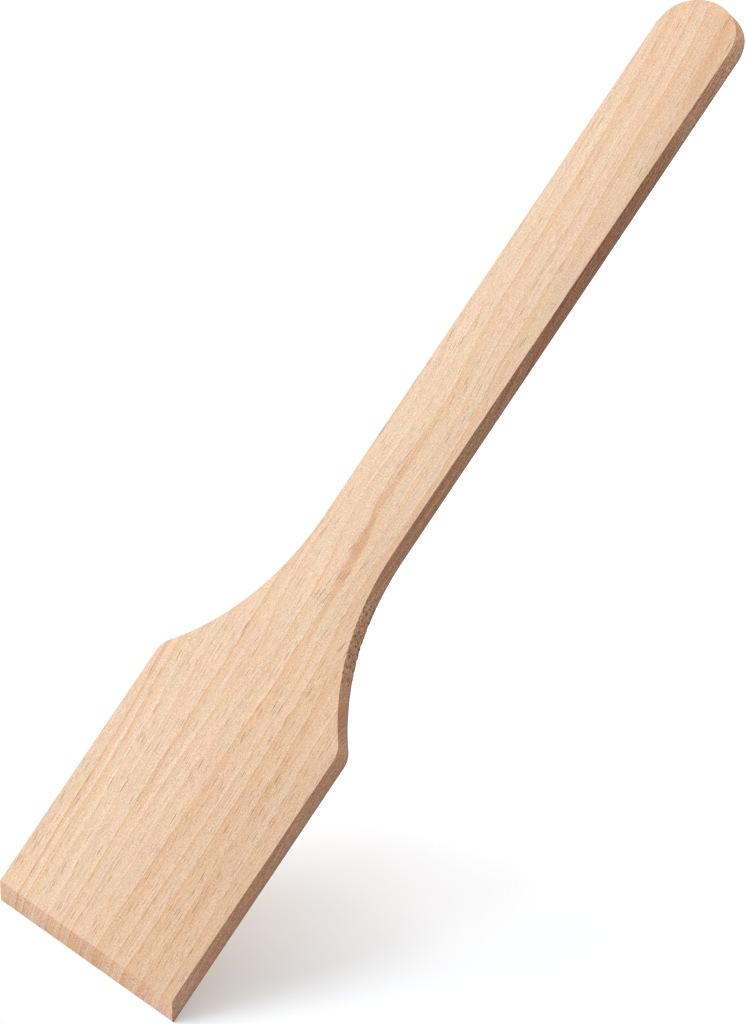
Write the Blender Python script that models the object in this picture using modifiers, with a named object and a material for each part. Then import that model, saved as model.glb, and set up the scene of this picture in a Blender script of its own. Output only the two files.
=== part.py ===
"""Flat wooden spatula, sawn from one beech board.

The board lies on its back: +Z is out of the blade's upper face, +Y runs towards the end of the handle,
and the origin is under the middle of the whole length, on the surface that the board rests on.
"""

import math

import bmesh
import bpy

# Board
LENGTH = 0.310
THICKNESS = 0.005
EASED_EDGE = 0.00025

# Blade
BLADE_WIDTH = 0.078
BLADE_SIDE_LENGTH = 0.0797
SHOULDER_RADIUS = 0.0066
BEVEL_RUN = 0.0043
BEVEL_LIP = 0.0006

# Neck: the hollow curve from each shoulder into the handle
FLARE_RADIUS = 0.069

# Handle
HANDLE_WIDTH = 0.0295
TIP_RISE = 0.0075
TIP_CORNER_RADIUS = 0.0105

# The bevel's cutter reaches this far past the board on every open side
OVERRUN = 0.002

# Points along the round stretches
FLARE_STEPS = 20
SHOULDER_STEPS = 7
TIP_CORNER_STEPS = 8
TIP_STEPS = 10
EDGE_SEGMENTS = 2

# A corner fillet may take up at most this share of half the handle's width
CORNER_LIMIT_SHARE = 0.95

# Bare sanded beech: colour, roughness and metallic value
BEECH_COLOUR = (0.80, 0.58, 0.40, 1.0)
BEECH_ROUGHNESS = 0.62
BEECH_METALLIC = 0.0

MERGE_DISTANCE = 0.00001
SHARP_ANGLE = math.radians(30)


def clear_scene():
    """Empty the scene of whatever it opened with."""
    for item in list(bpy.data.objects):
        bpy.data.objects.remove(item, do_unlink=True)


def new_collection(name):
    collection = bpy.data.collections.new(name)
    bpy.context.scene.collection.children.link(collection)
    return collection


def beech_material():
    material = bpy.data.materials.new("beech")
    material.use_nodes = True
    shader = material.node_tree.nodes["Principled BSDF"]
    shader.inputs["Base Color"].default_value = BEECH_COLOUR
    shader.inputs["Roughness"].default_value = BEECH_ROUGHNESS
    shader.inputs["Metallic"].default_value = BEECH_METALLIC
    return material


def arc(centre, radius, start, end, steps):
    """Points on a circle from one angle to another, both ends included."""
    angles = [start + (end - start) * step / steps for step in range(steps + 1)]
    return [(centre[0] + radius * math.cos(angle), centre[1] + radius * math.sin(angle)) for angle in angles]


def right_side_outline():
    """The outline's right half, from the blade's corner up to the middle of the handle's end."""
    blade_half = BLADE_WIDTH / 2
    handle_half = HANDLE_WIDTH / 2
    blade_end = -LENGTH / 2
    tip_end = LENGTH / 2

    # The shoulder is a small round that runs into the large hollow circle of the flare, and that
    # circle touches the handle's straight side. Their centres lie one radius sum apart.
    shoulder_x = blade_half - SHOULDER_RADIUS
    shoulder_y = blade_end + BLADE_SIDE_LENGTH
    flare_x = handle_half + FLARE_RADIUS
    across = flare_x - shoulder_x
    along = math.sqrt((FLARE_RADIUS + SHOULDER_RADIUS) ** 2 - across ** 2)
    flare_y = shoulder_y + along
    meeting = math.atan2(along, across)

    # The end is a shallow arc over the handle's width, with a round at each corner
    crown_radius = (TIP_RISE ** 2 + handle_half ** 2) / (2 * TIP_RISE)
    crown_y = tip_end - crown_radius
    corner_radius = min(TIP_CORNER_RADIUS, handle_half * CORNER_LIMIT_SHARE)
    corner_x = handle_half - corner_radius
    corner_y = crown_y + math.sqrt((crown_radius - corner_radius) ** 2 - corner_x ** 2)
    corner_end = math.atan2(corner_y - crown_y, corner_x)

    outline = [(blade_half, blade_end)]
    outline += arc((shoulder_x, shoulder_y), SHOULDER_RADIUS, 0.0, meeting, SHOULDER_STEPS)
    outline += arc((flare_x, flare_y), FLARE_RADIUS, math.pi + meeting, math.pi, FLARE_STEPS)[1:]
    outline += arc((corner_x, corner_y), corner_radius, 0.0, corner_end, TIP_CORNER_STEPS)
    outline += arc((0.0, crown_y), crown_radius, corner_end, math.pi / 2, TIP_STEPS)[1:]
    return outline


def board_outline():
    """The whole outline, anticlockwise: the right half and its mirror image, sharing the tip's middle."""
    right = right_side_outline()
    left = [(-x, y) for x, y in reversed(right[:-1])]
    return right + left


def filled_curve(name, points, thickness, collection):
    """A flat outline as a filled 2D curve, as thick as asked for, centred on its own plane."""
    curve = bpy.data.curves.new(name, "CURVE")
    curve.dimensions = "2D"
    curve.fill_mode = "BOTH"
    curve.extrude = thickness / 2
    spline = curve.splines.new("POLY")
    spline.points.add(len(points) - 1)
    for point, (x, y) in zip(spline.points, points):
        point.co = (x, y, 0.0, 1.0)
    spline.use_cyclic_u = True
    item = bpy.data.objects.new(name, curve)
    collection.objects.link(item)
    return item


def curve_to_mesh(item, collection):
    """Replace a curve by its mesh, with the loose caps welded to the sides."""
    name = item.name
    bpy.context.view_layer.update()
    evaluated = item.evaluated_get(bpy.context.evaluated_depsgraph_get())
    mesh = bpy.data.meshes.new_from_object(evaluated)
    place = item.matrix_world.copy()
    bpy.data.objects.remove(item, do_unlink=True)

    shape = bmesh.new()
    shape.from_mesh(mesh)
    bmesh.ops.remove_doubles(shape, verts=shape.verts, dist=MERGE_DISTANCE)
    bmesh.ops.recalc_face_normals(shape, faces=shape.faces)
    shape.to_mesh(mesh)
    shape.free()

    solid = bpy.data.objects.new(name, mesh)
    solid.matrix_world = place
    collection.objects.link(solid)
    return solid


def bevel_cutter(collection):
    """The waste above the blade's bevel, as a prism that runs across the blade.

    Its lower side is the bevel itself, which falls from the upper face to a thin lip at the end.
    """
    fall = THICKNESS - BEVEL_LIP
    slope = fall / BEVEL_RUN
    past = OVERRUN * slope
    profile = [
        (-OVERRUN, BEVEL_LIP - past),
        (BEVEL_RUN + OVERRUN, THICKNESS + past),
        (-OVERRUN, THICKNESS + past),
    ]
    item = filled_curve("bevel_cutter", profile, BLADE_WIDTH + 2 * OVERRUN, collection)
    # The curve's own X and Y become the board's Y and Z, and its thickness runs across the blade
    item.rotation_euler = (math.pi / 2, 0.0, math.pi / 2)
    item.location = (0.0, -LENGTH / 2, 0.0)
    cutter = curve_to_mesh(item, collection)
    cutter.hide_render = True
    cutter.display_type = "WIRE"
    return cutter


def spatula_board(parts, cutters):
    """The board: sawn outline, bevelled blade end and eased edges."""
    item = filled_curve("spatula_board", board_outline(), THICKNESS, parts)
    item.location = (0.0, 0.0, THICKNESS / 2)
    board = curve_to_mesh(item, parts)
    board.data.materials.clear()
    board.data.materials.append(beech_material())

    bevel = board.modifiers.new("blade_bevel", "BOOLEAN")
    bevel.operation = "DIFFERENCE"
    bevel.solver = "EXACT"
    bevel.object = bevel_cutter(cutters)

    eased = board.modifiers.new("eased_edges", "BEVEL")
    eased.width = EASED_EDGE
    eased.segments = EDGE_SEGMENTS
    eased.limit_method = "ANGLE"
    eased.angle_limit = SHARP_ANGLE
    eased.use_clamp_overlap = True

    board.data.shade_smooth()
    board.data.set_sharp_from_angle(angle=SHARP_ANGLE)
    return board


def main():
    clear_scene()
    parts = new_collection("wooden_spatula")
    cutters = new_collection("cutters")
    spatula_board(parts, cutters)


main()
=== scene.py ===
# %% [markdown]
# This lesson dresses a flat wooden spatula for its portrait. The real one is sawn from a single beech
# board, sanded and left bare. A packed model already fixes its size and its place. It could be painted
# as it stands, but its edges are too soft for a close look and its curves too coarse. So a finer board
# is built here inside the same size, a beech is grown for it out of rings, fibres and rays, and the
# light, the floor and the camera are set around it.

# %% The packed model
import math

import bmesh
import bpy
from mathutils import Matrix, Vector, noise


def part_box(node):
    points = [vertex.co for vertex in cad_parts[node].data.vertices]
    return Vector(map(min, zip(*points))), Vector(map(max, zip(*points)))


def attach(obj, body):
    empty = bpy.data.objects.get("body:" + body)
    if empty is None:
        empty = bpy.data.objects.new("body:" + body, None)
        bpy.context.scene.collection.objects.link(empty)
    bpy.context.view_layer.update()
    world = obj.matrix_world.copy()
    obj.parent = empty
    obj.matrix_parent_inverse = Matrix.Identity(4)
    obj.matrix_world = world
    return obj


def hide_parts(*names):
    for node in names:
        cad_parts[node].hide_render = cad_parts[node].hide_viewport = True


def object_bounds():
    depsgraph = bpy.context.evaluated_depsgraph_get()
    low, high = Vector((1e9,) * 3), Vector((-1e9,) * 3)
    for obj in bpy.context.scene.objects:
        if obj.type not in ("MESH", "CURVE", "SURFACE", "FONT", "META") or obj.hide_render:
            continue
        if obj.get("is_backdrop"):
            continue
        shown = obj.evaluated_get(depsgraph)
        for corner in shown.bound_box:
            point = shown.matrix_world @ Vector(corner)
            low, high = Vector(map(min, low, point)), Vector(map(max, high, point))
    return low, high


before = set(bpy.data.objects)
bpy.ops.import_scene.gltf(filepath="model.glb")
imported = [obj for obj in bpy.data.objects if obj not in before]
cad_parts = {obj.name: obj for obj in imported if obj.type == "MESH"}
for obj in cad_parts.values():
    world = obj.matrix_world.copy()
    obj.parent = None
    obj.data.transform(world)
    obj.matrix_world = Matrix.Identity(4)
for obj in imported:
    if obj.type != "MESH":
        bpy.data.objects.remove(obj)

MM = 0.001

cad_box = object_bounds()
board_low, board_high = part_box("spatula_board")
print("board in mm", [round(side / MM, 2) for side in board_high - board_low])

# %% [markdown]
# The photograph was taken from the board's right, well above it, through a long lens, with the camera
# rolled so that the handle climbs to the upper right corner. A matrix copied out of Blender's window
# would place the camera just as well. Azimuth, elevation and roll were chosen because they say the same
# in three numbers that can be read and changed. They were found by fitting the board's own outline to
# the picture.

# %% Camera
FRAME_LONG_SIDE = 1024
SENSOR_WIDTH = 36.0
FOCAL_PIXELS = 4881
AIM = Vector((0.00027, -0.01253, 0.00505))
CAMERA_DISTANCE = 1.31345
CAMERA_AZIMUTH = math.radians(83.15)
CAMERA_ELEVATION = math.radians(45.79)
CAMERA_ROLL = math.radians(-51.12)
UP = Vector((0, 0, 1))

towards_camera = Vector((
    math.sin(CAMERA_AZIMUTH) * math.cos(CAMERA_ELEVATION),
    -math.cos(CAMERA_AZIMUTH) * math.cos(CAMERA_ELEVATION),
    math.sin(CAMERA_ELEVATION),
))
level_right = (-towards_camera).cross(UP).normalized()
level_up = level_right.cross(-towards_camera)
picture_right = math.cos(CAMERA_ROLL) * level_right + math.sin(CAMERA_ROLL) * level_up
picture_up = towards_camera.cross(picture_right)

camera_data = bpy.data.cameras.new("camera")
camera_data.sensor_width = SENSOR_WIDTH
camera_data.lens = FOCAL_PIXELS / FRAME_LONG_SIDE * SENSOR_WIDTH
camera = bpy.data.objects.new("camera", camera_data)
bpy.context.scene.collection.objects.link(camera)
turn = Matrix((picture_right, picture_up, towards_camera)).transposed()
camera.matrix_world = Matrix.Translation(AIM + CAMERA_DISTANCE * towards_camera) @ turn.to_4x4()
bpy.context.scene.camera = camera
bpy.context.scene.view_settings.view_transform = "Standard"
print("lens in mm", round(camera_data.lens, 1), "camera at", [round(c, 3) for c in camera.location])

# %% [markdown]
# Wood is a stack of small numbers that change from place to place: how far into a ring, how close to a
# ray. Blender does such sums with one Math node for each plus and times. They could be wired by hand,
# but nobody can read a hundred wires. So a small class wraps a node's output, and a sum such as
# `1 - mask` or `width * 2` adds the right Math node by itself.

# %% Values


class Value:
    """One output of a node, which can be added, multiplied and so on."""

    def __init__(self, recipe, socket):
        self.recipe = recipe
        self.socket = socket

    def other(self, name):
        """Another output of the same node."""
        return Value(self.recipe, self.socket.node.outputs[name])

    def __add__(self, other):
        return self.recipe.math("ADD", self, other)

    def __radd__(self, other):
        return self.recipe.math("ADD", other, self)

    def __sub__(self, other):
        return self.recipe.math("SUBTRACT", self, other)

    def __rsub__(self, other):
        return self.recipe.math("SUBTRACT", other, self)

    def __mul__(self, other):
        return self.recipe.math("MULTIPLY", self, other)

    def __rmul__(self, other):
        return self.recipe.math("MULTIPLY", other, self)

    def __truediv__(self, other):
        return self.recipe.math("DIVIDE", self, other)

    def __rtruediv__(self, other):
        return self.recipe.math("DIVIDE", other, self)

    def __pow__(self, other):
        return self.recipe.math("POWER", self, other)

    def __rpow__(self, other):
        return self.recipe.math("POWER", other, self)


print("a value can be part of a sum with + - * / and **")

# %% [markdown]
# A finish is a recipe of nodes. Each kind of node could have a function of its own, but they would all
# do the same three things. So one method makes any node: first its settings, since they decide which
# sockets it has, and then the values or links of its sockets. The short methods after it only save
# words. Colours go through Mix and Vector Math nodes, because a Math node would turn them grey.

# %% Recipes


class Recipe:
    """The node tree of a material or of the world."""

    def __init__(self, tree):
        self.tree = tree
        self.tree.nodes.clear()

    def node(self, kind, settings=None, sockets=None):
        """A node with its settings made first, then its sockets; returns its first output in use."""
        made = self.tree.nodes.new(kind)
        for name, setting in (settings or {}).items():
            if name == "stops":
                fill_ramp(made.color_ramp, setting)
            elif name == "points":
                fill_curve(made.mapping, *setting)
            else:
                setattr(made, name, setting)
        for name, given in (sockets or {}).items():
            plugs = [plug for plug in made.inputs if plug.enabled and plug.name == name]
            socket = made.inputs[name] if isinstance(name, int) else plugs[0]
            if isinstance(given, Value):
                self.tree.links.new(given.socket, socket)
            else:
                socket.default_value = given
        outputs = [plug for plug in made.outputs if plug.enabled]
        return Value(self, outputs[0]) if outputs else None

    def math(self, operation, first, second=0.0):
        return self.node("ShaderNodeMath", {"operation": operation}, {0: first, 1: second})

    def blend(self, factor, first, second, mode="MIX"):
        """Two colours mixed."""
        settings = {"data_type": "RGBA", "blend_type": mode}
        return self.node("ShaderNodeMix", settings, {"Factor": factor, "A": first, "B": second})

    def vector(self, x, y, z):
        return self.node("ShaderNodeCombineXYZ", None, {"X": x, "Y": y, "Z": z})

    def parts(self, vector):
        """The X of a vector, with Y and Z as its other outputs."""
        return self.node("ShaderNodeSeparateXYZ", None, {"Vector": vector})

    def ramp(self, value, stops):
        """The colour that a ramp of stops has at this value."""
        return self.node("ShaderNodeValToRGB", {"stops": stops}, {"Fac": value})

    def noise(self, place, detail=0.0, roughness=0.5):
        sockets = {"Vector": place, "Scale": 1.0, "Detail": detail, "Roughness": roughness}
        return self.node("ShaderNodeTexNoise", None, sockets)

    def between(self, value, low, high):
        """0 up to low, 1 from high on, with a soft step between them."""
        sockets = {"Value": value, "From Min": low, "From Max": high}
        return self.node("ShaderNodeMapRange", {"interpolation_type": "SMOOTHSTEP"}, sockets)

    def hill(self, distance):
        """1 where the distance is 0, and falling softly to nothing as it grows."""
        return self.math("EXPONENT", -1 * distance)

    def drawn(self, value, points, handles="AUTO_CLAMPED"):
        """A curve drawn through a few points, with both of its axes in real units."""
        left, right = points[0][0], points[-1][0]
        low = min(height for _, height in points)
        high = max(height for _, height in points)
        scaled = [((at - left) / (right - left), (height - low) / (high - low)) for at, height in points]
        curve = self.node("ShaderNodeFloatCurve", {"points": (scaled, handles)},
                          {"Value": (value - left) / (right - left)})
        return curve * (high - low) + low


def fill_ramp(ramp, stops):
    """Colour stops: place and colour, from left to right."""
    while len(ramp.elements) < len(stops):
        ramp.elements.new(0.5)
    for element, (at, colour) in zip(ramp.elements, stops):
        element.position = at
        element.color = colour


def fill_curve(mapping, points, handles):
    """Curve points between 0 and 1."""
    curve = mapping.curves[0]
    while len(curve.points) < len(points):
        curve.points.new(0.5, 0.5)
    for point, place in zip(curve.points, points):
        point.location = place
        point.handle_type = handles
    mapping.extend = "HORIZONTAL"
    mapping.update()


print("short methods", [name for name in vars(Recipe) if not name.startswith("_")])

# %% [markdown]
# A maker draws half of the outline on a template and flips it: a straight blade side, a small round at
# the shoulder, one large hollow circle into the handle, and a shallow arc with two rounded corners at
# the tip. A Bezier curve bent by eye could come close. Arcs were chosen, because the same few measures
# as in the packed model give exactly its line, only with more points, so that the curves stay smooth up
# close. The right flare gets the finest points, because torn grain will be pressed into it.

# %% Outline
LENGTH = board_high.y - board_low.y
THICKNESS = board_high.z - board_low.z
BLADE_HALF = (board_high.x - board_low.x) / 2
BLADE_SIDE = 79.7 * MM
SHOULDER_RADIUS = 6.6 * MM
FLARE_RADIUS = 69 * MM
HANDLE_HALF = 14.75 * MM
TIP_RISE = 7.5 * MM
TIP_CORNER_RADIUS = 10.5 * MM
SMOOTH_STEP = 0.7 * MM
FINE_STEP = 0.25 * MM


def arc(centre, radius, start, end, step):
    """Points on a circle from one angle to another, about one step apart."""
    count = max(2, round(abs(end - start) * radius / step))
    angles = [start + (end - start) * part / count for part in range(count + 1)]
    return [(centre[0] + radius * math.cos(angle), centre[1] + radius * math.sin(angle)) for angle in angles]


blade_end = -LENGTH / 2
shoulder = (BLADE_HALF - SHOULDER_RADIUS, blade_end + BLADE_SIDE)
flare_across = HANDLE_HALF + FLARE_RADIUS - shoulder[0]
flare_along = math.sqrt((FLARE_RADIUS + SHOULDER_RADIUS) ** 2 - flare_across ** 2)
flare = (HANDLE_HALF + FLARE_RADIUS, shoulder[1] + flare_along)
meeting = math.atan2(flare_along, flare_across)
crown_radius = (TIP_RISE ** 2 + HANDLE_HALF ** 2) / (2 * TIP_RISE)
crown = (0.0, LENGTH / 2 - crown_radius)
corner_x = HANDLE_HALF - TIP_CORNER_RADIUS
corner = (corner_x, crown[1] + math.sqrt((crown_radius - TIP_CORNER_RADIUS) ** 2 - corner_x ** 2))
corner_end = math.atan2(corner[1] - crown[1], corner_x)


def half_outline(flare_step):
    """From the blade's corner to the middle of the tip, on the right-hand side."""
    line = [(BLADE_HALF, blade_end)]
    line += arc(shoulder, SHOULDER_RADIUS, 0.0, meeting, SMOOTH_STEP)
    line += arc(flare, FLARE_RADIUS, math.pi + meeting, math.pi, flare_step)[1:]
    line += arc(corner, TIP_CORNER_RADIUS, 0.0, corner_end, SMOOTH_STEP)
    line += arc(crown, crown_radius, corner_end, math.pi / 2, SMOOTH_STEP)[1:]
    return line


right_half = half_outline(FINE_STEP)
left_half = [(-x, y) for x, y in reversed(half_outline(SMOOTH_STEP)[:-1])]
outline = right_half + left_half
print("outline points", len(outline), "flare sweeps", round(math.degrees(meeting), 1), "degrees")

# %% [markdown]
# A saw follows the outline through a board 5 mm thick, and a slanted cut then takes the waste off the
# blade's end, as a plane would. A cutter and a Boolean modifier could do that, as in the packed model.
# Here the mesh is bisected by one plane, which needs no second object. The wall of the right flare also
# gets rows of points, where the torn grain will be: all of it in the middle, none at the ends.

# %% Sawn board
BEVEL_RUN = 4.3 * MM
BEVEL_LIP = 0.6 * MM
CUT_TOLERANCE = MM / 1000
TORN_START = 14 * MM
TORN_END = 47 * MM
TORN_FADE = 7 * MM
TORN_ROWS = 15


def torn_share(point):
    """How much of the torn grain is at this point, from 0 to 1."""
    if point.x < HANDLE_HALF or point.y > flare[1]:
        return 0.0
    turned = math.atan2(flare[1] - point.y, flare[0] - point.x)
    from_shoulder = FLARE_RADIUS * (meeting - turned)
    rise = (from_shoulder - TORN_START) / TORN_FADE
    fall = (TORN_END - from_shoulder) / TORN_FADE
    return max(0.0, min(1.0, rise, fall))


def sawn_board(name):
    shape = bmesh.new()
    rim = [shape.verts.new((x, y, 0.0)) for x, y in outline]
    base = shape.faces.new(rim)
    lifted = bmesh.ops.extrude_face_region(shape, geom=[base])["geom"]
    top = [item for item in lifted if isinstance(item, bmesh.types.BMVert)]
    bmesh.ops.translate(shape, verts=top, vec=(0.0, 0.0, THICKNESS))

    # The bevel falls from the upper face to a thin lip at the blade's end
    slope = Vector((0.0, BEVEL_RUN, THICKNESS - BEVEL_LIP)).normalized()
    outwards = Vector((0.0, -slope.z, slope.y))
    everything = shape.verts[:] + shape.edges[:] + shape.faces[:]
    cut = bmesh.ops.bisect_plane(shape, geom=everything, dist=CUT_TOLERANCE, clear_outer=True,
                                 plane_co=(0.0, blade_end, BEVEL_LIP), plane_no=outwards)["geom_cut"]
    bmesh.ops.contextual_create(shape, geom=[item for item in cut if isinstance(item, bmesh.types.BMEdge)])
    bmesh.ops.recalc_face_normals(shape, faces=shape.faces)

    # Rows of points on the wall of the right flare
    uprights = [edge for edge in shape.edges if torn_share(edge.verts[0].co) > 0
                and edge.verts[0].co.xy == edge.verts[1].co.xy]
    bmesh.ops.subdivide_edges(shape, edges=uprights, cuts=TORN_ROWS, use_grid_fill=True)

    mesh = bpy.data.meshes.new(name)
    shape.to_mesh(mesh)
    shape.free()
    sawn = bpy.data.objects.new(name, mesh)
    bpy.context.scene.collection.objects.link(sawn)
    return sawn


board = sawn_board("beech_board")
print("sawn board points", len(board.data.vertices), "faces", len(board.data.polygons))

# %% [markdown]
# A few strokes of sandpaper take the sharpness off every arris, the edge where two faces meet. Such
# narrow rounds could be modelled point by point, but the Bevel modifier finds every sharp edge by itself.
# Its width is small, because the real edges look crisp. Its new faces carry a mark, so that a pale line
# can be painted there, partly the paler wood of sanding and partly a painted highlight.

# %% Eased edges
EASED_EDGE = 0.06 * MM
EASED_SEGMENTS = 2
SHARP_ANGLE = math.radians(30)


def ease_edges(sawn):
    """Sand the edges over; the new narrow faces are numbered 1 for a moment, then marked as arris."""
    sawn.data.materials.append(None)
    sawn.data.materials.append(None)
    modifier = sawn.modifiers.new("eased_edges", "BEVEL")
    modifier.width = EASED_EDGE
    modifier.segments = EASED_SEGMENTS
    modifier.limit_method = "ANGLE"
    modifier.angle_limit = SHARP_ANGLE
    modifier.material = 1
    bpy.context.view_layer.update()
    evaluated = sawn.evaluated_get(bpy.context.evaluated_depsgraph_get())
    finished = bpy.data.meshes.new_from_object(evaluated)
    sawn.modifiers.clear()
    sawn.data = finished
    mark = finished.attributes.new("arris", "FLOAT", "FACE")
    for polygon in finished.polygons:
        mark.data[polygon.index].value = float(polygon.material_index)
        polygon.material_index = 0
    finished.materials.clear()


ease_edges(board)
narrow_faces = sum(1 for mark in board.data.attributes["arris"].data if mark.value > 0.5)
print("board faces", len(board.data.polygons), "of them narrow", narrow_faces)

# %% [markdown]
# In the middle of the right flare the saw ran against the fibres and pulled some out, which left small
# dark pits and a ragged lower edge. Bump in the material could only shade such pits, and the edge would
# stay smooth. So each point of the wall there really moves inwards, by a noise that is cut off below a
# threshold, which keeps the pits apart. How deep each point went is kept for the colour.

# %% Torn grain
PIT_DEPTH = 0.24 * MM
PIT_SIZE = 0.6 * MM
SMALL_PITS = 2.3
SMALL_PIT_SHARE = 0.5
PIT_THRESHOLD = 0.02
PIT_STEEPNESS = 2.5
CLEAN_BAND = 0.5 * MM
DEPTH_AT_FACE = 0.35
WALL_TOLERANCE = 1.5 * EASED_EDGE

torn = board.data.attributes.new("torn", "FLOAT", "POINT")
deepest_pit = 0.0
for vertex in board.data.vertices:
    share = torn_share(vertex.co)
    to_centre = Vector((*flare, vertex.co.z)) - vertex.co
    if share == 0 or vertex.co.x > flare[0] or abs(to_centre.length - FLARE_RADIUS) > WALL_TOLERANCE:
        continue
    rough = noise.noise(vertex.co / PIT_SIZE)
    rough += SMALL_PIT_SHARE * noise.noise(vertex.co / PIT_SIZE * SMALL_PITS)
    depth = max(0.0, min(1.0, (rough - PIT_THRESHOLD) * PIT_STEEPNESS)) * share
    torn.data[vertex.index].value = depth
    # The pits stay shallow beside the upper face, whose edge is clean
    under_face = min(1.0, (THICKNESS - vertex.co.z) / CLEAN_BAND)
    move = PIT_DEPTH * depth * (DEPTH_AT_FACE + (1 - DEPTH_AT_FACE) * under_face)
    vertex.co -= to_centre.normalized() * move
    deepest_pit = max(deepest_pit, move)
print("deepest pit in mm", round(deepest_pit / MM, 3))

# %% [markdown]
# The saw also strayed a little, so the neck of the real board sits up to 0.3 mm further to the right
# than a symmetrical outline says. The outline could be drawn anew for that. It is simpler to slide each
# point of the finished board sideways, by an amount that a short list gives along the board.

# %% Neck drift
NECK_DRIFT = [(80, 0.0), (92, 0.25), (125, 0.30), (150, 0.16), (305, 0.03)]


def drift(from_end):
    """How far the board strays to the right at this distance from the blade's end, both in mm."""
    for (near, near_drift), (far, far_drift) in zip(NECK_DRIFT, NECK_DRIFT[1:]):
        if near <= from_end <= far:
            return near_drift + (far_drift - near_drift) * (from_end - near) / (far - near)
    return 0.0


for vertex in board.data.vertices:
    vertex.co.x += drift((vertex.co.y - blade_end) / MM) * MM
board.data.update()
print("drift at the neck in mm", drift(125))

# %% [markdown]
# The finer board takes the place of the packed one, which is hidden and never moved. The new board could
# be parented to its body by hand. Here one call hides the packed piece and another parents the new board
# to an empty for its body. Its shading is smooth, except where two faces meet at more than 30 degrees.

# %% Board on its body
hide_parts("spatula_board")
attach(board, "root")
board.data.shade_smooth()
board.data.set_sharp_from_angle(angle=SHARP_ANGLE)
print("pieces dressed:", board.name)

# %% [markdown]
# Wood is the same all through, so one ring shows on the face, on the side and on the bevel. A flat
# pattern on an unwrapped mesh would have to be matched at every edge. The object's own coordinates need
# no matching: across is counted from the board's middle, along from the bevel's crease and height from
# the back, all in millimetres.

# %% Places in the board
FACE_HEIGHT = THICKNESS / MM
CREASE_FROM_MIDDLE = (LENGTH / 2 - BEVEL_RUN) / MM


def new_recipe(name):
    material = bpy.data.materials.new(name)
    material.use_nodes = True
    return material, Recipe(material.node_tree)


material, beech = new_recipe("beech_wood")
place = beech.node("ShaderNodeTexCoord").other("Object")
in_mm = beech.node("ShaderNodeVectorMath", {"operation": "SCALE"}, {"Vector": place, "Scale": 1 / MM})
across = beech.parts(in_mm)
along = across.other("Y") + CREASE_FROM_MIDDLE
height = across.other("Z")
along_tip = CREASE_FROM_MIDDLE + LENGTH / 2 / MM
print("along runs from", round(-BEVEL_RUN / MM, 1), "to", round(along_tip, 1), "mm")

# %% [markdown]
# The grain isn't straight. It drifts left towards the tip, fans out on the left of the blade, and
# swirls once at the neck, as grain does beside a knot. A noise could bend it, but not where the real
# board bends. So the push to the side is the sum of a curve drawn along the board, a fan and a few soft
# hills, and only a slight wander on top of them comes from noise. The values of the curve, the fan and
# the hills weren't set by hand: a program fitted them to ring lines read off the photograph.

# %% Grain
GRAIN_PATH = [(-10, 0.8), (0, 0.0), (50, -3.8), (100, -7.4), (150, -3.6), (200, -8.5), (250, -11.3),
              (310, -18.4)]
FAN = -0.0001
FAN_REACH = 130.0
SWIRLS = [
    # along, across, half length, half width to the left and to the right, push to the right
    (122.0, 3.8, 19.3, 8.1, 3.4, 6.2),
    (88.4, 2.5, 28.7, 17.7, 20.0, 6.7),
    (48.2, 20.0, 45.0, 20.0, 12.1, 5.2),
    (141.2, 4.6, 20.7, 20.0, 3.4, -3.5),
]
WANDER = 2.4
WANDER_WIDTH = 9.0
WANDER_LENGTH = 28.0


def lopsided(recipe, place, middle, before, after):
    """The square of how far a place is from a middle, with its own half width on either side."""
    short = recipe.math("MINIMUM", place - middle, 0.0) / before
    past = recipe.math("MAXIMUM", place - middle, 0.0) / after
    return short ** 2 + past ** 2


path = beech.drawn(along, GRAIN_PATH, "AUTO")
fibre_line = across - path
push = path + FAN * beech.math("MINIMUM", along, FAN_REACH) * beech.math("MINIMUM", across, 0.0)
for swirl_along, swirl_across, half_length, left_width, right_width, amount in SWIRLS:
    far_along = ((along - swirl_along) / half_length) ** 2
    far_across = lopsided(beech, across, swirl_across, left_width, right_width)
    push = push + amount * beech.hill(far_along + far_across)
wander_place = beech.vector(across / WANDER_WIDTH, along / WANDER_LENGTH, height / WANDER_WIDTH)
wander = beech.noise(wander_place, detail=2.0)
straight = across - push - (wander - 0.5) * WANDER
print("swirls", len(SWIRLS), "nodes so far", len(beech.tree.nodes))

# %% [markdown]
# Rings are cylinders round the tree's pith, and a board cuts through them. Stripes painted on the face
# would look right only from above. Here the pith lies deep under the right side of the board, so each
# ring comes up at a slant, as the lines on the real bevel show. The rule of Pythagoras says where the
# ring through a point reaches the upper face, and that place stands for the ring from here on.

# %% Slanting rings
PITH_ACROSS = 129.0
PITH_BELOW = 77.0

pith_to_face = FACE_HEIGHT + PITH_BELOW
reach = (PITH_ACROSS - straight) ** 2 + (height + PITH_BELOW) ** 2 - pith_to_face ** 2
ring_place = PITH_ACROSS - beech.math("SQRT", reach)
pith_lean = math.atan2(pith_to_face, PITH_ACROSS)
print("the pith is seen from mid-board", round(math.degrees(pith_lean)), "degrees below the face")
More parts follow.
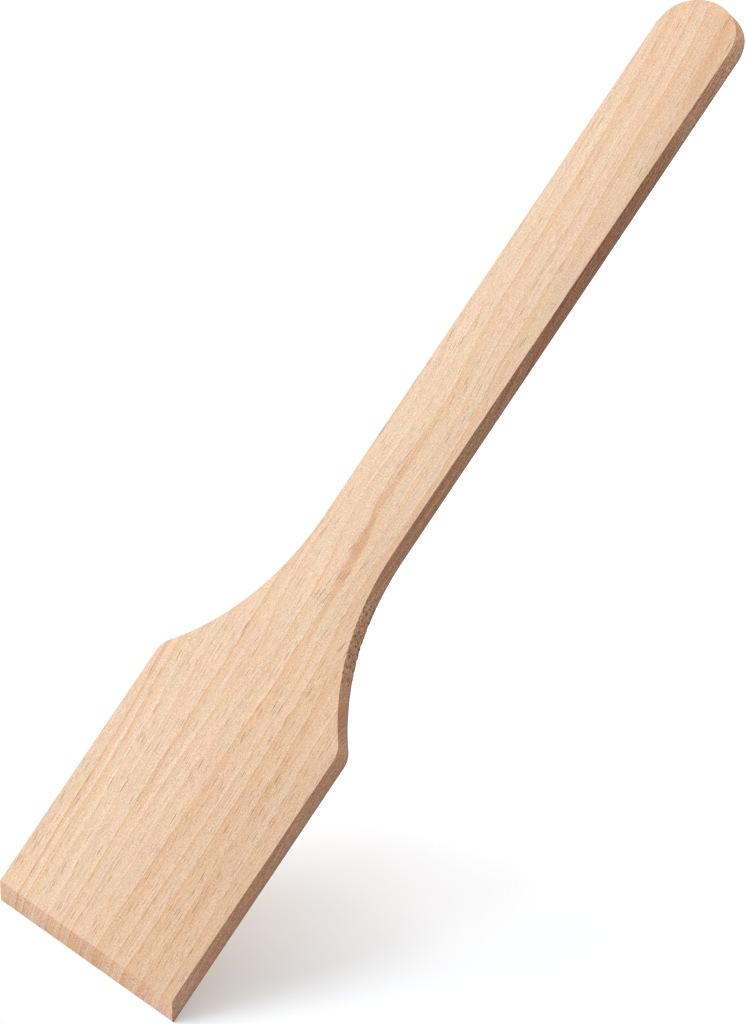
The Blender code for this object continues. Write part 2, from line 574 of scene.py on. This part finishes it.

# %% [markdown]
# Each year ends in dense, dark wood at a sharp line. Walking across this board from left to right,
# every line is a sudden step to dark that fades to pale before the next one. A Wave texture would give
# lines, but all alike. So each ring has its own row: where its line is, and how dark it is at the
# line, just after it, half way and before the next. The rows are turned into one long curve, split in
# two because a curve node keeps only 256 samples and a ring line has to stay crisp. A fine noise
# feathers the lines. Their places started from the same fit as the grain, and most were moved one by one.

# %% Rings
RINGS = [
    # line across the blade in mm, darkness at the line, just after it, half way and before the next
    (-44.0, 0.42, 0.42, 0.36, 0.22),
    (-31.0, 0.98, 0.88, 0.36, 0.12),
    (-27.5, 0.76, 0.56, 0.44, 0.10),
    (-22.6, 0.42, 0.34, 0.32, 0.10),
    (-17.3, 0.52, 0.42, 0.36, 0.16),
    (-10.8, 1.00, 0.62, 0.40, 0.24),
    (-6.3, 0.84, 0.48, 0.36, 0.28),
    (-0.9, 0.86, 0.50, 0.38, 0.30),
    (4.0, 0.96, 0.80, 0.62, 0.32),
    (11.2, 0.96, 0.66, 0.42, 0.34),
    (16.1, 1.06, 0.82, 0.64, 0.46),
    (24.2, 1.00, 0.80, 0.66, 0.34),
    (34.3, 0.98, 0.70, 0.54, 0.40),
]
LINE_EDGE = 0.3
LINE_WIDTH = 0.5
PALE_STRIP = 0.22
MIDDLE_AT = 0.42
LEAD_IN = 1.0
RINGS_END = 48.0
HALVES_MEET = 3.5
FEATHER = 0.22
FEATHER_WIDTH = 0.30
FEATHER_LENGTH = 5.0
RING_STRENGTH = [(-10, 1.05), (70, 1.05), (100, 0.95), (130, 0.88), (200, 0.86), (310, 0.84)]


def ring_points(rows, end):
    """The rings as points of one curve: a pale strip, the sharp dark line and the slow way back to pale."""
    before = rows[0][1]
    points = [(rows[0][0] - LEAD_IN, before)]
    next_lines = [row[0] for row in rows[1:]] + [end]
    for (line, dark, after, middle, pale), next_line in zip(rows, next_lines):
        crest = line + LINE_EDGE
        points.append((line - LINE_WIDTH, before))
        points.append((line, before - PALE_STRIP))
        points.append((crest, dark))
        points.append((crest + LINE_WIDTH, after))
        points.append((crest + (next_line - crest) * MIDDLE_AT, middle))
        before = pale
    points.append((end, before))
    return points


all_points = ring_points(RINGS, RINGS_END)
left_points = [point for point in all_points if point[0] <= HALVES_MEET]
right_points = [point for point in all_points if point[0] >= HALVES_MEET]
feather_place = beech.vector(straight / FEATHER_WIDTH, along / FEATHER_LENGTH, height / FEATHER_WIDTH)
feather = beech.noise(feather_place, detail=1.0) - 0.5
feathered = ring_place + feather * FEATHER
left_rings = beech.drawn(feathered, left_points, "VECTOR")
right_rings = beech.drawn(feathered, right_points, "VECTOR")
rings = (left_rings + right_rings - left_points[-1][1]) * beech.drawn(along, RING_STRENGTH)
print("ring curve points", len(left_points), len(right_points))

# %% [markdown]
# One spot stays in the eye: where the grain swirls, the wood beside the strongest ring line is
# orange-brown. Noise would never put it there. It is drawn as a brush stroke would be, because a stroke
# can be measured on the real board: points along it say where its middle runs, how wide it is and how
# deep its colour is. Weaker strokes repeat it on the blade and towards the tip.

# %% Streaks
STROKES = [
    # along, across, half width, depth of colour
    [(98, 7.0, 0.8, 0.0), (106, 5.8, 1.1, 0.3), (113, 4.7, 1.3, 0.45), (117, 4.1, 1.6, 0.65),
     (120.5, 3.9, 1.8, 0.8), (123, 3.7, 1.4, 0.65), (126.5, 3.3, 1.9, 0.9), (130, 2.9, 1.7, 0.85),
     (134, 2.4, 1.1, 0.7), (139, 1.9, 0.7, 0.0)],
    [(130, 1.9, 0.6, 0.0), (136, 1.5, 1.1, 0.45), (142, 0.5, 1.5, 0.6), (150, 0.9, 1.3, 0.5),
     (157, 0.9, 1.2, 0.35), (166, 0.6, 1.1, 0.2), (180, 0.0, 1.0, 0.0)],
    [(38, 8.3, 0.4, 0.0), (44, 8.5, 0.5, 0.4), (51, 9.0, 0.6, 0.4), (60, 9.6, 0.4, 0.0)],
    [(36, -11.0, 0.5, 0.0), (44, -12.0, 0.6, 0.3), (52, -13.2, 0.7, 0.35), (62, -14.6, 0.6, 0.2),
     (72, -14.8, 0.5, 0.0)],
    [(46, 25.8, 0.6, 0.0), (55, 25.6, 1.0, 0.35), (61, 25.2, 1.1, 0.4), (72, 24.9, 0.8, 0.3),
     (82, 24.4, 0.5, 0.0)],
    [(272, 12.2, 1.5, 0.0), (284, 10.8, 2.4, 0.35), (295, 9.0, 2.6, 0.4), (306, 7.0, 2.4, 0.4)],
]
STROKE_FEATHER = 0.8


def stroke(points):
    """How deep the stroke's colour is here."""
    middle = beech.drawn(along, [(at, centre) for at, centre, _, _ in points])
    half_width = beech.drawn(along, [(at, width) for at, _, width, _ in points])
    depth = beech.drawn(along, [(at, deep) for at, _, _, deep in points])
    off = (across + feather * STROKE_FEATHER - middle) / half_width
    return depth * beech.hill(off ** 4)


streaks = sum(stroke(points) for points in STROKES)
print("strokes", len(STROKES), "nodes so far", len(beech.tree.nodes))

# %% [markdown]
# Up close beech is a felt of fine fibres. A picture of wood could carry them, but it would blur in a
# close view and show its seams. Noise stretched along the grain stays sharp at any distance. The finest
# layers follow the board's drawn grain line. The longer strands and streams follow the rings down
# through the board, so that they slant on its ends as the rings do.

# %% Fibres
# Width and length in mm, and a shift that keeps one noise apart from the next
SPECKLE = (0.20, 0.5, 11.0)
FIBRES = (0.20, 2.0, 23.0)
STRANDS = (0.26, 34.0, 37.0)
STREAMS = (1.5, 40.0, 53.0)
BLUSH = (2.4, 14.0, 91.0)
PINKNESS = (5.5, 16.0, 133.0)


def stretched(width, length, shift):
    """Coordinates in which something this wide and long across and along the grain is one unit."""
    return beech.vector(fibre_line / width + shift, along / length, height / width)


def layered(width, length, shift):
    """The same for what follows the rings down through the board."""
    return beech.vector(ring_place / width + shift, along / length, 0.0)


speckle = beech.noise(stretched(*SPECKLE)) - 0.5
fibres = beech.noise(stretched(*FIBRES)) - 0.5
strands = beech.noise(layered(*STRANDS), detail=1.0, roughness=0.6) - 0.5
streams = beech.noise(layered(*STREAMS), detail=1.0) - 0.5
blush = beech.noise(layered(*BLUSH), detail=1.0) - 0.5
pinkness = beech.noise(layered(*PINKNESS)) - 0.5
print("finest fibre in mm", FIBRES[:2], "longest", STREAMS[:2])

# %% [markdown]
# The mark of beech is its countless short brown dashes: the ends of its rays, thin sheets of cells that
# point from the bark to the pith. Hundreds of small curves could be laid on the face, but a Voronoi
# texture already scatters cells that never line up. Stretched along the grain, with a dark lens in the
# middle of some cells, they become dashes. The coordinate across them is turned towards the pith, so
# that each sheet passes through the board as it does in the tree. Pores are a finer, paler kind of dash.

# %% Rays and pores
# Width and length of a cell in mm, and a shift that keeps rays and pores apart
RAY_CELLS = (0.26, 8.0, 3.0)
PORE_CELLS = (0.22, 4.0, 71.0)
LENS_HALF = 0.22
LENS_CORE, LENS_RIM = 0.5, 1.2
SMALLEST_LENS, LENS_RANGE = 0.55, 0.75
FAINTEST_LENS = 0.3
SHARE_SOFTNESS = 0.06
CLUMPS = (7.0, 26.0, 5.0)
RAY_SHARE = [(-10, 0.54), (60, 0.48), (110, 0.30), (200, 0.22), (310, 0.16)]
RAY_SHARE_LEFT, RAY_SHARE_GAIN = -0.06, 0.16
RAY_GAIN_STARTS, RAY_GAIN_ENDS = -30.0, 30.0
RAY_CLUMPING = 0.9
PORE_SHARE = 0.55
PORE_CLUMPING = 0.5


def lenses(width, length, shift, share):
    """Dark lens shapes, drawn out into thin sheets; share is how many of the cells have one."""
    sideways = fibre_line * math.sin(pith_lean) + height * math.cos(pith_lean)
    spot = beech.vector(sideways / width + shift, along / length, 0.0)
    distance = beech.node("ShaderNodeTexVoronoi", {"voronoi_dimensions": "2D", "feature": "F1"},
                          {"Vector": spot, "Scale": 1.0, "Randomness": 1.0})
    chance = beech.node("ShaderNodeSeparateColor", None, {"Color": distance.other("Color")})
    size = SMALLEST_LENS + LENS_RANGE * chance.other("Green")
    core = 1 - beech.between(distance / size, LENS_HALF * LENS_CORE, LENS_HALF * LENS_RIM)
    there = beech.between(share - chance, 0.0, SHARE_SOFTNESS)
    return core * there * (FAINTEST_LENS + (1 - FAINTEST_LENS) * chance.other("Blue") ** 2)


clumps = beech.noise(stretched(*CLUMPS), detail=1.0) - 0.5
ray_gain = beech.between(across, RAY_GAIN_STARTS, RAY_GAIN_ENDS) * RAY_SHARE_GAIN + RAY_SHARE_LEFT
rays = lenses(*RAY_CELLS, beech.drawn(along, RAY_SHARE) + ray_gain + clumps * RAY_CLUMPING)
pores = lenses(*PORE_CELLS, PORE_SHARE + clumps * PORE_CLUMPING)
print("nodes so far", len(beech.tree.nodes))

# %% [markdown]
# Bare beech runs from cream to tan. Two colours mixed by a mask would give a dull line between them, so
# the ring's darkness picks its tone on a ramp of six, and the streams shift it a little. Then the
# streak pulls the wood to orange-brown, and pores and rays darken it. They are kept to the face, since
# the bevel and the sides show none. How level a place is tells the face from the bevel and the sides.

# %% Wood tones


def tone(red, green, blue):
    """A colour as seen on a screen, 0 to 255, turned into the light that the shader works with."""
    def light(level):
        share = level / 255
        return share / 12.92 if share <= 0.04045 else ((share + 0.055) / 1.055) ** 2.4
    return (light(red), light(green), light(blue), 1.0)


WOOD_TONES = [
    (0.00, tone(240, 212, 187)),
    (0.30, tone(235, 204, 175)),
    (0.55, tone(232, 198, 166)),
    (0.80, tone(229, 191, 155)),
    (1.00, tone(227, 185, 148)),
    (1.30, tone(217, 173, 137)),
]
STREAK_TONE = tone(216, 166, 126)
RAY_TONE = tone(152, 92, 48)
PORE_TONE = tone(198, 152, 114)
RAY_COVER = 0.86
PORE_COVER = 0.65
FACE_LEVEL = (0.80, 0.97)
BEVEL_LEVEL = (0.40, 0.62)
BASE_DARKNESS = 0.10
STREAM_DARKNESS = 0.35
# What the bevel adds: stronger rings and streams, less a trend from its left end to its right
BEVEL_RINGS = 0.35
BEVEL_STREAMS = 0.5
BEVEL_TREND = [(-39, -0.02), (-29, 0.12), (-18, 0.08), (-7.5, 0.20), (-3.8, -0.16), (0, 0.30), (3.5, 0.16),
               (8, 0.40), (16, 0.52), (27, 0.50), (39, 0.67)]

facing = beech.parts(beech.node("ShaderNodeTexCoord").other("Normal"))
level = beech.math("ABSOLUTE", facing.other("Z"))
on_face = beech.between(level, *FACE_LEVEL)
off_face = 1 - on_face
off_wall = beech.between(level, *BEVEL_LEVEL)
on_bevel = off_wall * off_face

trend = beech.drawn(across, BEVEL_TREND)
darkness = rings + on_bevel * (rings * BEVEL_RINGS - trend)
darkness = darkness + streams * (STREAM_DARKNESS + on_bevel * BEVEL_STREAMS) + BASE_DARKNESS
darkest = WOOD_TONES[-1][0]
stops = [(at / darkest, colour) for at, colour in WOOD_TONES]
wood = beech.ramp(darkness / darkest, stops)
wood = beech.blend(streaks, wood, STREAK_TONE)
wood = beech.blend(pores * PORE_COVER * on_face, wood, PORE_TONE)
wood = beech.blend(rays * on_face * RAY_COVER, wood, RAY_TONE)
print("wood tones", len(stops), "nodes so far", len(beech.tree.nodes))

# %% [markdown]
# No two fibres have quite the same colour. Each layer of noise could have a colour ramp of its own, but
# mixing four ramps makes the wood muddy. Here each layer lifts or lowers the wood a little, with its own
# weight for red, green and blue: pale fibres are also less yellow, and a slow blush turns some stretches
# pinker. The rough sawn sides show their grain more strongly, most of all along the handle.

# %% Fine variation
SIDE_GRAIN = [(-4, 1.0), (1, 1.0), (5, 0.65), (110, 0.8), (150, 1.25), (210, 1.5), (300, 1.6)]
FINE_WEIGHT = (0.92, 1.20, 1.48)
STRAND_WEIGHT = (0.93, 1.17, 1.42)
BLUSH_WEIGHT = (0.08, 0.0, -0.12)
PINK_WEIGHT = (0.035, -0.055, 0.01)
SPECKLE_LIFT, FIBRE_LIFT, STRAND_LIFT = 0.62, 0.30, 0.45
SIDE_FINE_GAIN, SIDE_STRAND_GAIN = 0.8, 0.9
WHITE = (1.0, 1.0, 1.0, 1.0)

side_grain = off_face * beech.drawn(along, SIDE_GRAIN)
effects = [
    # what varies, and how much it lifts red, green and blue
    ((speckle * SPECKLE_LIFT + fibres * FIBRE_LIFT) * (1 + side_grain * SIDE_FINE_GAIN), FINE_WEIGHT),
    (strands * (STRAND_LIFT + side_grain * SIDE_STRAND_GAIN), STRAND_WEIGHT),
    (blush * (1 + off_face), BLUSH_WEIGHT),
    (pinkness, PINK_WEIGHT),
]
for amount, weight in effects:
    sockets = {0: amount, 1: weight, 2: WHITE[:3]}
    lifted = beech.node("ShaderNodeVectorMath", {"operation": "MULTIPLY_ADD"}, sockets)
    wood = beech.blend(1.0, wood, lifted, "MULTIPLY")
print("layers of variation", len(effects), "nodes so far", len(beech.tree.nodes))

# %% [markdown]
# Sawn sides are browner than the planed face: partly their open pores, partly painted shade for sides
# that turn away from the light, and that depth changes from the blade to the tip. Lamps alone can't do
# this, since they would change the face too. So the wood is multiplied by a tint: one ramp for the sides,
# read through a curve that gives the depth of tone and painted shade along the board, one across the
# bevel and a faint one for the face.
# Their values were tuned against tones measured in the photograph and in the render.

# %% Tints of sides, bevel and face
SIDE_TINTS_AND_SHADE = [(0.0, (0.96, 0.82, 0.82, 1.0)), (0.2, (0.85, 0.68, 0.60, 1.0)),
              (1.0, (0.48, 0.322, 0.252, 1.0))]
SIDE_DEPTH = [(-4, 0.0), (5, 0.10), (12, 0.28), (24, 0.43), (40, 0.53), (68, 0.54), (76, 0.52), (80, 0.62),
              (84, 0.82), (89, 0.74), (96, 0.50), (105, 0.45), (114, 0.46), (124, 0.72), (135, 0.70),
              (156, 0.76), (177, 0.82), (205, 0.95), (226, 1.0), (247, 0.97), (261, 0.87), (275, 0.52),
              (288, 0.46), (299, 0.25), (308, 0.36)]
SIDE_SHADE = 0.14
BEVEL_TINTS = [(0.0, (1.05, 0.96, 0.93, 1.0)), (0.5, (1.06, 0.965, 0.91, 1.0)),
               (0.70, (1.105, 0.995, 0.923, 1.0)), (0.83, (1.166, 1.055, 1.017, 1.0)),
               (1.0, (1.25, 1.11, 1.08, 1.0))]
FACE_TINTS = [(0.0, WHITE), (0.2, (0.975, 0.985, 1.0, 1.0)), (0.36, (0.975, 0.985, 1.0, 1.0)),
              (0.54, (1.0, 1.02, 1.05, 1.0)), (0.80, (0.99, 1.01, 1.05, 1.0)),
              (0.97, (0.98, 0.965, 0.97, 1.0))]

# Painted shade: the sides are a little lighter at the top than at the bottom
side_painted_shade = 1 + SIDE_SHADE * (height / FACE_HEIGHT - 0.5)
# The side tint is partly the browner wood of open pores and partly painted shade along the board
side_tint_and_shade = beech.ramp(beech.drawn(along, SIDE_DEPTH), SIDE_TINTS_AND_SHADE)
side_tint_and_shade = beech.node("ShaderNodeVectorMath", {"operation": "SCALE"},
                       {"Vector": side_tint_and_shade, "Scale": side_painted_shade})
bevel_tint = beech.ramp(across / (2 * BLADE_HALF / MM) + 0.5, BEVEL_TINTS)
face_tint = beech.ramp(along / (LENGTH / MM), FACE_TINTS)
tint = beech.blend(off_wall, side_tint_and_shade, bevel_tint)
tint = beech.blend(on_face, tint, face_tint)
wood = beech.blend(1.0, wood, tint, "MULTIPLY")
print("side tints", len(SIDE_TINTS_AND_SHADE), "bevel tints", len(BEVEL_TINTS), "face tints", len(FACE_TINTS))

# %% [markdown]
# Sanded edges get a pale line, partly the paler wood of sanding and partly a painted highlight where they
# catch the light, but not beside the bevel. The lower rim of the sawn sides gets a painted grey shade, and
# the torn pits are painted dark brown inside, partly the colour of torn fibres and partly painted shade in
# the hollows. Pointiness could find the edges, but it depends on how dense the mesh is. The marks that the
# board already carries, arris and torn, are exact, and the height tells the upper edge from the lower one.

# %% Edges and pits
EDGE_PALE_AND_HIGHLIGHT_TONE = tone(206, 170, 146)
LOW_EDGE_SHADE_TONE = tone(135, 120, 112)
PIT_TONE_AND_SHADE = tone(84, 56, 42)
EDGE_PALE_AND_HIGHLIGHT_COVER = 0.6
LOW_EDGE_SHADE_COVER = 0.5
PIT_COVER = 0.75
UPPER_EDGE = (0.4, 1.0)
BEHIND_CREASE = (0.5, 1.5)
LOW_EDGE = (0.0, 1.4)
WALL_LEVEL = (0.3, 0.6)

arris = beech.node("ShaderNodeAttribute", {"attribute_name": "arris"}).other("Fac")
# A pale line on the upper edges, partly the paler wood of sanding and partly a painted highlight
edge_pale_and_highlight = arris * beech.between(height, *UPPER_EDGE) * beech.between(along, *BEHIND_CREASE)
wood = beech.blend(edge_pale_and_highlight * EDGE_PALE_AND_HIGHLIGHT_COVER, wood, EDGE_PALE_AND_HIGHLIGHT_TONE)
on_wall = 1 - beech.between(level, *WALL_LEVEL)
# Painted shade: a grey band along the lower rim of the sawn sides
low_edge_painted_shade = (1 - beech.between(height, *LOW_EDGE)) * on_wall
wood = beech.blend(low_edge_painted_shade * LOW_EDGE_SHADE_COVER, wood, LOW_EDGE_SHADE_TONE)
pits = beech.node("ShaderNodeAttribute", {"attribute_name": "torn"}).other("Fac")
# Dark brown in the pits: partly the colour of torn fibres, partly painted shade in the hollows
wood = beech.blend(pits * PIT_COVER * on_wall, wood, PIT_TONE_AND_SHADE)
print("nodes so far", len(beech.tree.nodes))

# %% [markdown]
# Sanded beech is matt with a silky trace of sheen along the fibres. True displacement would need
# millions of points for grooves this fine, so the relief is a Bump node, and a shallow one: rays and
# pores are tiny grooves, the fibres stand a hair proud. The roughness follows the fibres and rays, and
# the reflection is weak, because there is no varnish on the wood.

# %% Surface
RELIEF_DEPTH = 0.06 * MM
RELIEF_STRENGTH = 0.5
FIBRES_PROUD, SPECKLE_PROUD = 0.6, 0.4
RAYS_SUNK, PORES_SUNK = 0.9, 0.5
ROUGHNESS, FIBRE_ROUGHNESS, RAY_ROUGHNESS = 0.60, 0.2, 0.15
REFLECTION = 0.25

relief = fibres * FIBRES_PROUD + speckle * SPECKLE_PROUD - rays * RAYS_SUNK - pores * PORES_SUNK
bump = beech.node("ShaderNodeBump", None,
                  {"Strength": RELIEF_STRENGTH, "Distance": RELIEF_DEPTH, "Height": relief})
roughness = ROUGHNESS + fibres * FIBRE_ROUGHNESS + rays * RAY_ROUGHNESS
shader = beech.node("ShaderNodeBsdfPrincipled", None,
                    {"Base Color": wood, "Roughness": roughness, "Normal": bump,
                     "Specular IOR Level": REFLECTION})
beech.node("ShaderNodeOutputMaterial", None, {"Surface": shader})
board.data.materials.append(material)
print("beech is ready, with", len(beech.tree.nodes), "nodes")

# %% [markdown]
# The studio is bright and soft: one wide light comes from the picture's upper left and a second one
# from its top. Softboxes could be area lamps, but their light would fall off along the board. Suns with
# a wide angle are as soft and reach both ends alike. Their directions are given as seen in the picture,
# which is how light is read off a photograph.

# %% Lamps
LAMPS = [
    # name, direction in the picture (right, up, towards the camera), strength, width in degrees
    ("left_light", (-0.82, 0.48, 0.31), 0.66, 50.0),
    ("far_light", (0.35, 0.93, 0.0), 0.45, 50.0),
]
for name, (right, up, near), strength, width in LAMPS:
    lamp = bpy.data.lights.new(name, "SUN")
    # At a strength of pi a sun lights white paper that faces it to exactly white
    lamp.energy = strength * math.pi
    lamp.angle = math.radians(width)
    holder = bpy.data.objects.new(name, lamp)
    bpy.context.scene.collection.objects.link(holder)
    direction = right * picture_right + up * picture_up + near * towards_camera
    holder.rotation_mode = "QUATERNION"
    holder.rotation_quaternion = direction.to_track_quat("Z", "Y")
    print(name, "strength", round(lamp.energy, 2))

# %% [markdown]
# Behind the spatula everything is white, and an even glow fills its shadows. If the world really were
# that bright, it would wash the wood out. So the world has two strengths: white for the rays that only
# show the background, and a weak glow for the rays that carry light to the wood.

# %% Background
GLOW = 0.33


def background_rays(recipe):
    """1 for the rays that show the background: to the camera, in a reflection or through glass."""
    from_camera = recipe.node("ShaderNodeLightPath")
    glossy, through = from_camera.other("Is Glossy Ray"), from_camera.other("Is Transmission Ray")
    return recipe.math("MAXIMUM", from_camera, recipe.math("MAXIMUM", glossy, through))


world = bpy.data.worlds.new("studio")
world.use_nodes = True
bpy.context.scene.world = world
air = Recipe(world.node_tree)
glow = air.node("ShaderNodeBackground", None, {"Color": WHITE, "Strength": GLOW})
backdrop = air.node("ShaderNodeBackground", None, {"Color": WHITE, "Strength": 1.0})
sky = air.node("ShaderNodeMixShader", None, {0: background_rays(air), 1: glow, 2: backdrop})
air.node("ShaderNodeOutputWorld", None, {"Surface": sky})
print("glow on the wood", GLOW, "background 1.0")

# %% [markdown]
# In the photograph the spatula leans, with the end of its blade on white paper, and its shadow spreads
# over the paper behind it. The board could be tilted, but a reusable part has to lie flat in its own
# frame. So the floor is tilted instead: it starts at the blade's end and falls away from the board. It
# is two thin sheets, because its underside, which shows from the front, should be plain white.

# %% Floor sheets
FLOOR_TILT = math.radians(44.3)
FLOOR_WIDTH = 3.0
FLOOR_LENGTH = 1.5
SHEET_GAP = 0.01 * MM

downhill = Vector((0.0, math.cos(FLOOR_TILT), -math.sin(FLOOR_TILT)))
below = Vector((0.0, -math.sin(FLOOR_TILT), -math.cos(FLOOR_TILT)))


def floor_sheet(name, depth):
    """One side of the floor, from the blade's end downhill, with its own recipe."""
    edge = Vector((0.0, blade_end, 0.0)) + below * depth
    half = Vector((FLOOR_WIDTH / 2, 0.0, 0.0))
    far = downhill * FLOOR_LENGTH
    corners = [edge - half, edge + half, edge + half + far, edge - half + far]
    mesh = bpy.data.meshes.new(name)
    mesh.from_pydata([tuple(corner) for corner in corners], [], [(0, 1, 2, 3)])
    sheet = bpy.data.objects.new(name, mesh)
    bpy.context.scene.collection.objects.link(sheet)
    sheet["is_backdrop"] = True
    sheet_material, recipe = new_recipe(name)
    mesh.materials.append(sheet_material)
    return recipe


def shine(recipe, share):
    """Light for the rays that show the background and for no others; share 1 is white."""
    dark = recipe.node("ShaderNodeEmission", None, {"Color": WHITE, "Strength": 0.0})
    bright = recipe.node("ShaderNodeEmission", None, {"Color": WHITE, "Strength": 1.0})
    seen = background_rays(recipe) * share
    return recipe.node("ShaderNodeMixShader", None, {0: seen, 1: dark, 2: bright})


paper = floor_sheet("white_floor", 0.0)
underside = floor_sheet("floor_underside", SHEET_GAP)
underside.node("ShaderNodeOutputMaterial", None, {"Surface": shine(underside, 1.0)})
print("floor tilted by", round(math.degrees(FLOOR_TILT), 1), "degrees")

# %% [markdown]
# The paper's paint takes the shadow, and a lift on top of it brings the lit paper up to white. A brighter
# lamp would do that too, but it would also bleach the wood, so the lift lights nothing and only shows. In
# the photograph the shadow fades to white further out, so the lift grows there, and a little more in one
# soft spot where the real shadow is paler than these lamps make it. A program fitted the even lift and
# the spot to the brightness of that shadow in the photograph.

# %% Paper and its shadow
FLOOR_PAINT = (0.872, 0.902, 0.935, 1.0)
EVEN_LIFT = 0.149
FAR_LIFT = 0.36
FAR_STARTS, FAR_ENDS = 95.0, 225.0
SPOT_LIFT = 0.178
# The middle of the spot in mm, and its half width before and after it
SPOT_DOWNHILL = (95.0, 29.0, 42.0)
SPOT_ACROSS = (49.0, 42.0, 21.0)

on_paper = paper.parts(paper.node("ShaderNodeTexCoord").other("Object"))
aside = on_paper / MM
away = (on_paper.other("Y") - blade_end) / (MM * math.cos(FLOOR_TILT))
off_spot = lopsided(paper, away, *SPOT_DOWNHILL) + lopsided(paper, aside, *SPOT_ACROSS)
lift = EVEN_LIFT + FAR_LIFT * paper.between(away, FAR_STARTS, FAR_ENDS) + SPOT_LIFT * paper.hill(off_spot)
paint = paper.node("ShaderNodeBsdfDiffuse", None, {"Color": FLOOR_PAINT})
lit_paint = paper.node("ShaderNodeAddShader", None, {0: paint, 1: shine(paper, lift)})
paper.node("ShaderNodeOutputMaterial", None, {"Surface": lit_paint})
print("lift from", EVEN_LIFT, "to", round(EVEN_LIFT + FAR_LIFT, 3))

# %% [markdown]
# The dressed board has to stay inside the packed one. That could be judged by eye, but two boxes say it
# exactly, so the last line prints how far the dressed board reaches past the packed one on each side.

# %% Size and finish
dressed_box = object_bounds()
grown = [[round((new - old) / MM, 4) for new, old in zip(*corners)] for corners in zip(dressed_box, cad_box)]
print("grown by mm", grown)
